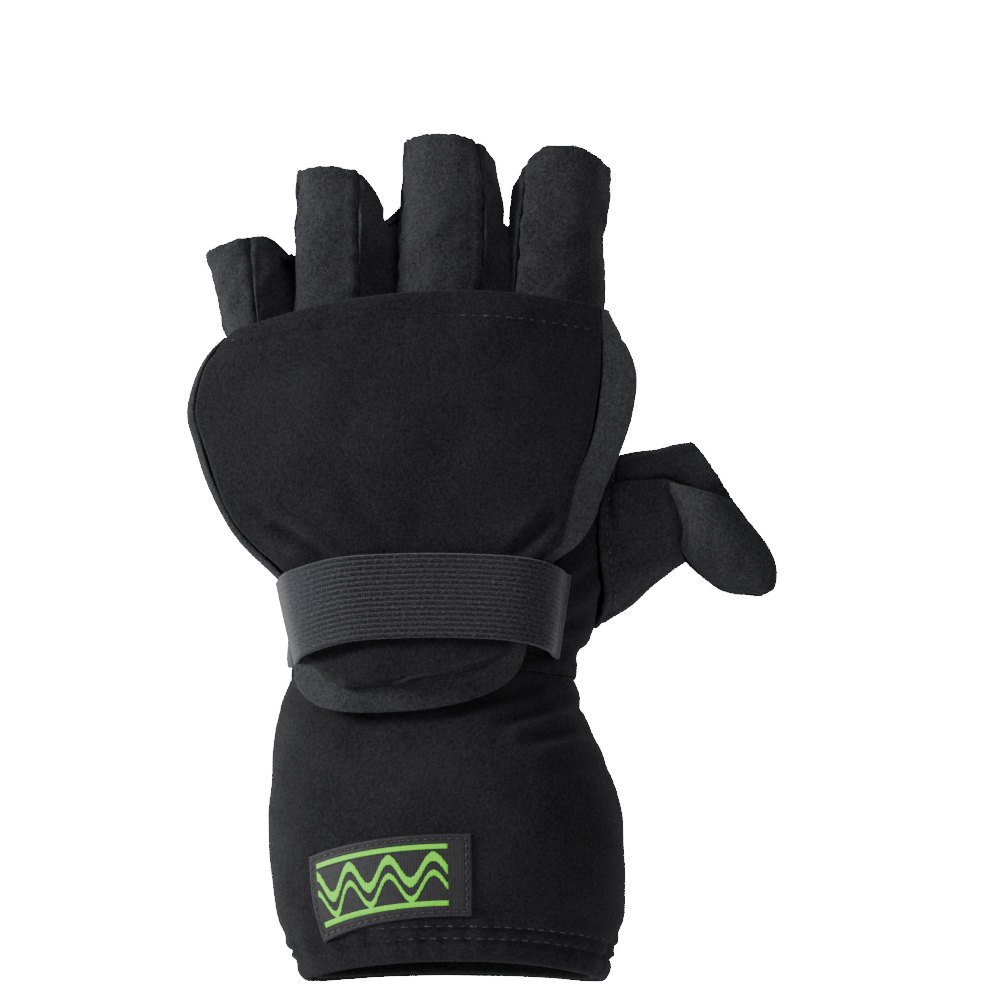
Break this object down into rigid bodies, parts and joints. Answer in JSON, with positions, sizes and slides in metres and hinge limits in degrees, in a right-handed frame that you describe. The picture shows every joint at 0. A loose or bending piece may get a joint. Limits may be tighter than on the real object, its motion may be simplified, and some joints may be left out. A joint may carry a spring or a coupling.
{
  "type": "fishing glove",
  "caption": "Fleece glove with cut finger stalls, a mitten cap folded back under a ribbed elastic strap, a folded thumb cap and a gauntlet cuff with a label.",
  "frame": {"origin": "middle of the cuff's mouth, where the forearm goes in", "axes": "+Z along the hand to the fingertips, -Y out of the back of the hand, +X to the thumb side"},
  "size_m": [0.1764, 0.0739, 0.2549],
  "materials": {
    "fleece": "matt brushed fleece, near black",
    "ribbed_elastic": "matt woven elastic with fine lengthwise ribs, charcoal",
    "woven_label": "close woven label with lime lines, slightly smooth"
  },
  "bodies": {
    "root": {"cuff": "fleece", "cuff_hem": "fleece", "cuff_label": "woven_label", "hand_back": "fleece", "hand_palm": "fleece", "little_finger_back": "fleece", "little_finger_palm": "fleece", "ring_finger_back": "fleece", "ring_finger_palm": "fleece", "middle_finger_back": "fleece", "middle_finger_palm": "fleece", "index_finger_back": "fleece", "index_finger_palm": "fleece", "little_ring_fourchette": "fleece", "ring_middle_fourchette": "fleece", "middle_index_fourchette": "fleece", "thumb_stall": "fleece", "thumb_cap_front": "fleece", "thumb_cap_back": "fleece", "mitten_cap_front": "fleece", "mitten_cap_hem": "fleece", "mitten_cap_gusset": "fleece", "mitten_cap_back": "fleece", "elastic_strap": "ribbed_elastic"}
  },
  "joints": []
}
